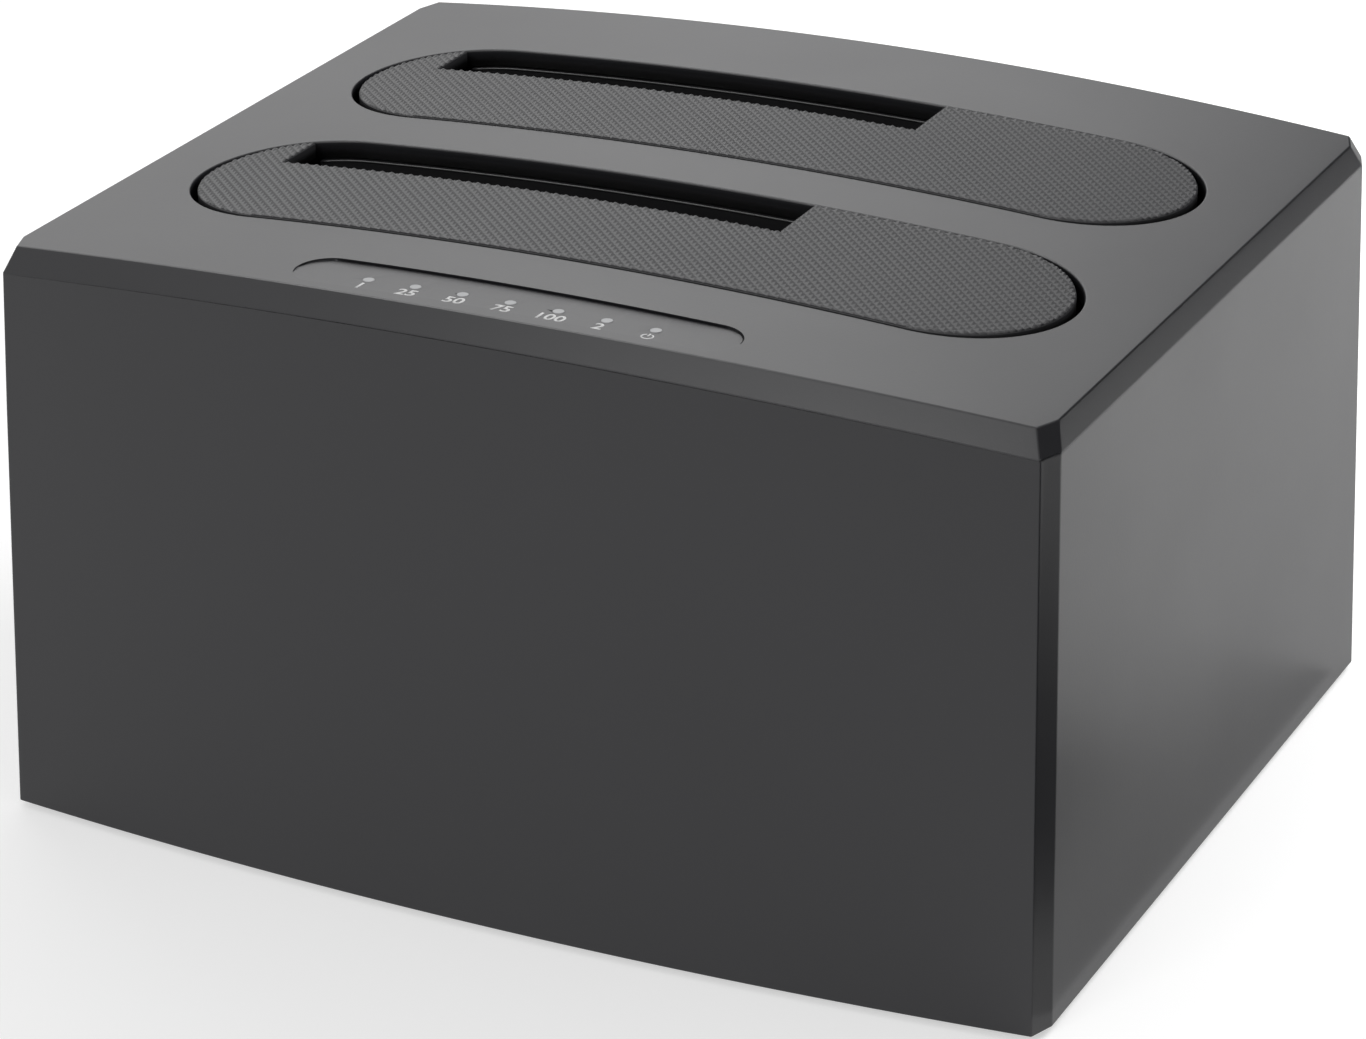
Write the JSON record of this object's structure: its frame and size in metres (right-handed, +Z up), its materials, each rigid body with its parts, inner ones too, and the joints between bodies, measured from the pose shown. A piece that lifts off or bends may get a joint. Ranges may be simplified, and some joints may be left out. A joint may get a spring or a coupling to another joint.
{
  "type": "hard drive docking station",
  "caption": "Black desktop docking station for bare hard drives: a crowned case with oval sprung lids over upright drive bays, a row of small lights, and rear data and power sockets.",
  "frame": {"origin": "middle of the footprint on the surface it stands on", "axes": "+X to the right seen from the front, +Y to the back, +Z up"},
  "size_m": [0.15, 0.1253, 0.084],
  "materials": {
    "case_plastic": "fine spark texture",
    "lid_plastic": "fine knurl",
    "well_plastic": "moulded",
    "foot_rubber": "matt",
    "screw_steel": "plated",
    "pin_steel": "ground",
    "spring_steel": "drawn wire",
    "circuit_board": "solder mask",
    "socket_plastic": "moulded",
    "contact_gold": "plated",
    "chip_plastic": "moulded",
    "can_metal": "drawn can",
    "capacitor_sleeve": "sleeve",
    "shell_steel": "plated sheet",
    "tongue_plastic": "moulded",
    "switch_plastic": "moulded",
    "button_plastic": "moulded",
    "lamp_plastic": "lens",
    "light_guide_acrylic": "diffuse clear",
    "plug_plastic": "moulded",
    "ribbon_plastic": "flat lead"
  },
  "bodies": {
    "case": {"upper_housing": "case_plastic", "base_plate": "case_plastic", "rubber_feet": "foot_rubber", "case_screws": "screw_steel", "front_drive_well": "well_plastic", "rear_drive_well": "well_plastic", "well_screws": "screw_steel", "front_flap_pin": "pin_steel", "rear_flap_pin": "pin_steel", "front_flap_spring": "spring_steel", "rear_flap_spring": "spring_steel", "main_board": "circuit_board", "board_screws": "screw_steel", "front_sata_socket": "socket_plastic", "rear_sata_socket": "socket_plastic", "front_sata_contacts": "contact_gold", "rear_sata_contacts": "contact_gold", "bridge_chip": "chip_plastic", "copy_chip": "chip_plastic", "crystal": "can_metal", "inductors": "chip_plastic", "capacitors": "capacitor_sleeve", "usb_shell": "shell_steel", "usb_tongue": "tongue_plastic", "usb_contacts": "contact_gold", "dc_jack": "socket_plastic", "dc_jack_pin": "pin_steel", "power_switch": "switch_plastic", "copy_switch": "switch_plastic", "led_board": "circuit_board", "led_board_screws": "screw_steel", "leds": "lamp_plastic", "light_guide": "light_guide_acrylic", "led_plugs": "plug_plastic", "led_ribbon": "ribbon_plastic"},
    "front_flap": {"front_flap": "lid_plastic"},
    "rear_flap": {"rear_flap": "lid_plastic"},
    "power_button": {"power_button": "button_plastic"},
    "copy_button": {"copy_button": "button_plastic"}
  },
  "joints": [
    {"name": "front_flap_hinge", "type": "hinge", "parent": "case", "child": "front_flap", "pos_m": [0, -0.04085, 0.07825], "axis": [-1, 0, 0], "range_deg": [0, 90], "stiffness_Nm_per_rad": 0.02, "springref_deg": -20.05, "deforming": ["front_flap_spring"]},
    {"name": "rear_flap_hinge", "type": "hinge", "parent": "case", "child": "rear_flap", "pos_m": [0, 0.00225, 0.07825], "axis": [-1, 0, 0], "range_deg": [0, 90], "stiffness_Nm_per_rad": 0.02, "springref_deg": -20.05, "deforming": ["rear_flap_spring"]},
    {"name": "power_button_press", "type": "slide", "parent": "case", "child": "power_button", "axis": [0, -1, 0], "range_m": [0, 0.0012], "stiffness_N_per_m": 800, "springref_m": -0.0005},
    {"name": "copy_button_press", "type": "slide", "parent": "case", "child": "copy_button", "axis": [0, -1, 0], "range_m": [0, 0.0008], "stiffness_N_per_m": 900, "springref_m": -0.0005}
  ]
}
